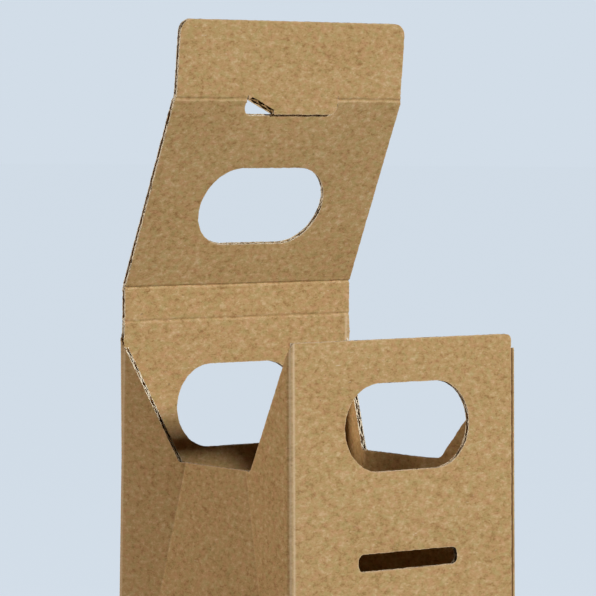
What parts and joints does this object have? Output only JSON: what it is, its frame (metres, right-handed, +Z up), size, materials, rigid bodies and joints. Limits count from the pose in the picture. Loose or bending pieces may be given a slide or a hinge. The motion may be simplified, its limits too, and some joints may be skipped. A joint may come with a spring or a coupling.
{
  "type": "bottle shipping box",
  "caption": "Tall one-bottle carrier box of brown corrugated board, standing open, with hand holes, notched sides and a hinged lid whose flap locks into a slot.",
  "frame": {"origin": "centre of the base, on the surface that the box stands on", "axes": "+Z up, -Y out of the front panel that has the lock slot, +X to the right seen from the front"},
  "size_m": [0.085, 0.085, 0.4451],
  "materials": {
    "kraft_board": "matt unbleached kraft liner, fluted cut edges"
  },
  "bodies": {
    "box": {"box_body": "kraft_board"},
    "strip": {"top_strip": "kraft_board"},
    "lid": {"lid_panel": "kraft_board"},
    "flap": {"tuck_flap": "kraft_board"}
  },
  "joints": [
    {"name": "ridge_crease", "type": "hinge", "parent": "box", "child": "strip", "pos_m": [0, 0.03938, 0.3571], "axis": [1, 0, 0], "range_deg": [-20, 30]},
    {"name": "lid_crease", "type": "hinge", "parent": "strip", "child": "lid", "pos_m": [0, 0.03938, 0.3672], "axis": [1, 0, 0], "range_deg": [-24, 36]},
    {"name": "flap_crease", "type": "hinge", "parent": "lid", "child": "flap", "pos_m": [0, 0.01481, 0.42238], "axis": [1, 0, 0], "range_deg": [-66, 18]}
  ]
}
